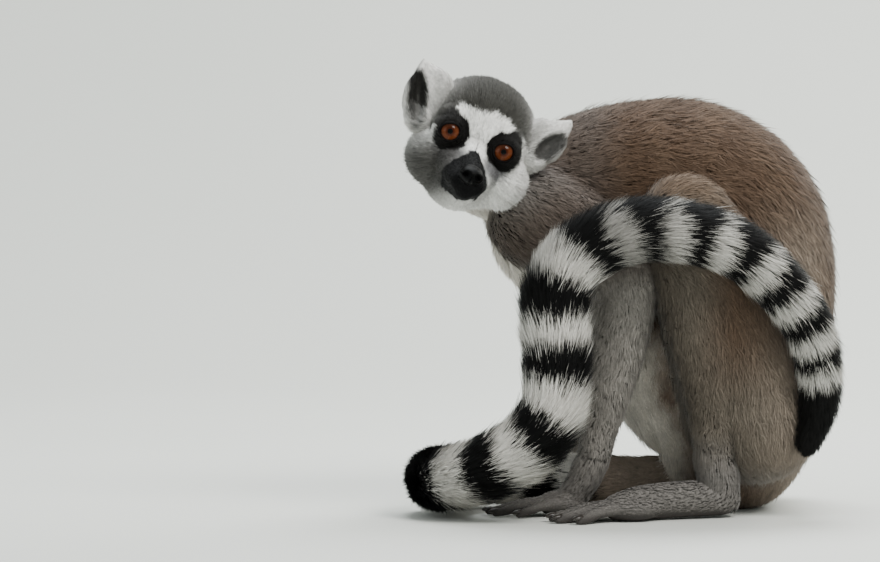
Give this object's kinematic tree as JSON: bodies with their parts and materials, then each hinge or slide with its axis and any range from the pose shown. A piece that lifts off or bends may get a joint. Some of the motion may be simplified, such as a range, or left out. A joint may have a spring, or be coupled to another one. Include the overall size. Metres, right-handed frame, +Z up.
{
  "type": "ring-tailed lemur figure",
  "caption": "Life-size figure of a ring-tailed lemur sitting hunched with its head turned to one side and its ringed tail curled round its hands and over its knee.",
  "frame": {"origin": "on the floor, at the middle of the flat that the rump rests on", "axes": "+Z up, -X the way the body faces, -Y the side the head is turned to, which is the animal's left"},
  "size_m": [0.2485, 0.2283, 0.2564],
  "materials": {
    "back": "woolly fur",
    "limb": "short woolly fur",
    "head": "short fur",
    "ear": "short fur",
    "hand": "short fur and bare skin",
    "nose": "moist bare skin",
    "eye": "wet",
    "tail": "long banded fur"
  },
  "bodies": {
    "root": {"ear_left": "ear", "ear_right": "ear", "eye_left": "eye", "eye_right": "eye", "foot_left": "hand", "foot_right": "hand", "forearm_left": "limb", "forearm_right": "limb", "hand_left": "hand", "hand_right": "hand", "head": "head", "neck": "back", "nose": "nose", "shank_left": "limb", "shank_right": "limb", "tail_1": "tail", "tail_2": "tail", "tail_3": "tail", "tail_4": "tail", "tail_5": "tail", "tail_6": "tail", "tail_7": "tail", "tail_8": "tail", "tail_9": "tail", "thigh_left": "limb", "thigh_right": "limb", "trunk_back": "back", "trunk_chest": "back", "trunk_rump": "back", "upper_arm_left": "limb", "upper_arm_right": "limb"}
  },
  "joints": []
}
